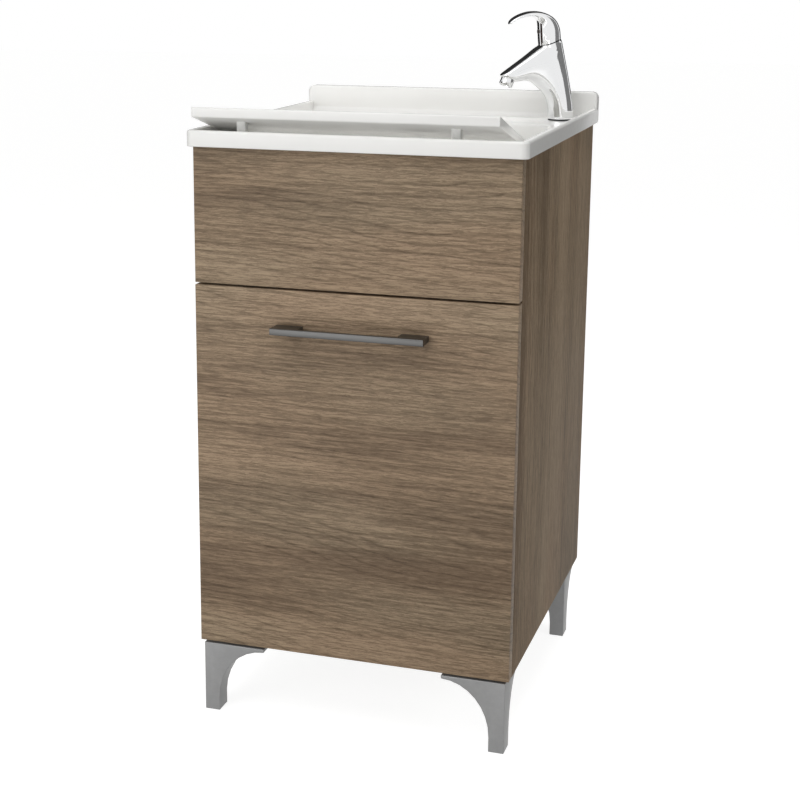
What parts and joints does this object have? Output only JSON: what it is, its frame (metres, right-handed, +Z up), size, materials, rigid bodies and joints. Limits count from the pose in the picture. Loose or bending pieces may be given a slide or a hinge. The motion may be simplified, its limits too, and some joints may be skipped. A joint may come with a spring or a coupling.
{
  "type": "utility laundry sink",
  "caption": "Floor-standing laundry sink: wood-finish cabinet on flared legs, white top with deep bowl, upstand and washboard, single-lever tap, tilt-out door with basket.",
  "frame": {"origin": "on the floor, under the middle of the object's overall box", "axes": "+X to the user's right, +Y from the front towards the wall, +Z up"},
  "size_m": [0.45, 0.518, 0.9495],
  "materials": {
    "wood": "fine-grained wood-effect laminate, satin",
    "inner_board": "plain pale melamine-faced board, matte",
    "white_acrylic": "glossy white",
    "leg_metal": "silver-grey satin",
    "handle_metal": "satin",
    "chrome": "polished",
    "steel": "satin",
    "plastic": "smooth white",
    "rubber": "matte black",
    "basket_plastic": "smooth off-white"
  },
  "bodies": {
    "cabinet": {"side_panel_left": "wood", "side_panel_right": "wood", "bottom_panel": "inner_board", "back_panel": "inner_board", "front_rail_upper": "inner_board", "front_rail_lower": "inner_board", "rear_rail": "inner_board", "front_fascia": "wood", "leg_front_left": "leg_metal", "leg_front_right": "leg_metal", "leg_rear_left": "leg_metal", "leg_rear_right": "leg_metal", "leg_screw_front_left": "steel", "leg_screw_front_right": "steel", "leg_screw_rear_left": "steel", "leg_screw_rear_right": "steel", "sink_top": "white_acrylic", "top_bracket_left": "steel", "top_bracket_right": "steel", "strainer": "steel", "waste_gasket": "rubber", "waste_nut": "plastic", "tail_pipe": "plastic", "tail_nut": "plastic", "trap_body": "chrome", "trap_nut": "chrome", "trap_cup": "chrome", "outlet_pipe": "chrome", "outlet_nut": "chrome", "wall_rosette": "chrome", "hinge_bracket_left": "steel", "hinge_bracket_right": "steel", "hinge_pin_left": "steel", "hinge_pin_right": "steel", "magnet_catch": "plastic", "tap_body": "chrome", "tap_gasket": "rubber", "aerator": "chrome", "cartridge": "plastic", "tap_stud": "steel", "inlet_tail_left": "steel", "inlet_tail_right": "steel", "tap_washer": "steel", "tap_nut": "steel"},
    "door": {"door_panel": "wood", "door_handle": "handle_metal", "handle_screw_left": "steel", "handle_screw_right": "steel", "hinge_leaf_left": "steel", "hinge_leaf_right": "steel", "basket_hook_left": "steel", "basket_hook_right": "steel", "laundry_basket": "basket_plastic", "strike_plate": "steel"},
    "tap_stem": {"cartridge_stem": "steel"},
    "tap_lever": {"lever": "chrome", "lever_pin": "steel", "index_cap": "plastic"},
    "washboard": {"washboard": "white_acrylic"},
    "plug": {"plug": "rubber"}
  },
  "joints": [
    {"name": "door_tilt", "type": "hinge", "parent": "cabinet", "child": "door", "pos_m": [0, -0.224, 0.1072], "axis": [1, 0, 0], "range_deg": [0, 28]},
    {"name": "lever_turn", "type": "hinge", "parent": "cabinet", "child": "tap_stem", "pos_m": [0.15611, 0.19159, 0.9193], "axis": [-0.2612, -0.2078, 0.9426], "range_deg": [-45, 45]},
    {"name": "lever_lift", "type": "hinge", "parent": "tap_stem", "child": "tap_lever", "pos_m": [0.15611, 0.19159, 0.9193], "axis": [-0.6225, 0.7826, 0], "range_deg": [0, 20]},
    {"name": "washboard_lift", "type": "slide", "parent": "cabinet", "child": "washboard", "axis": [0, 0, 1], "range_m": [0, 0.12]},
    {"name": "plug_lift", "type": "slide", "parent": "cabinet", "child": "plug", "axis": [0, 0, 1], "range_m": [0, 0.12]}
  ]
}
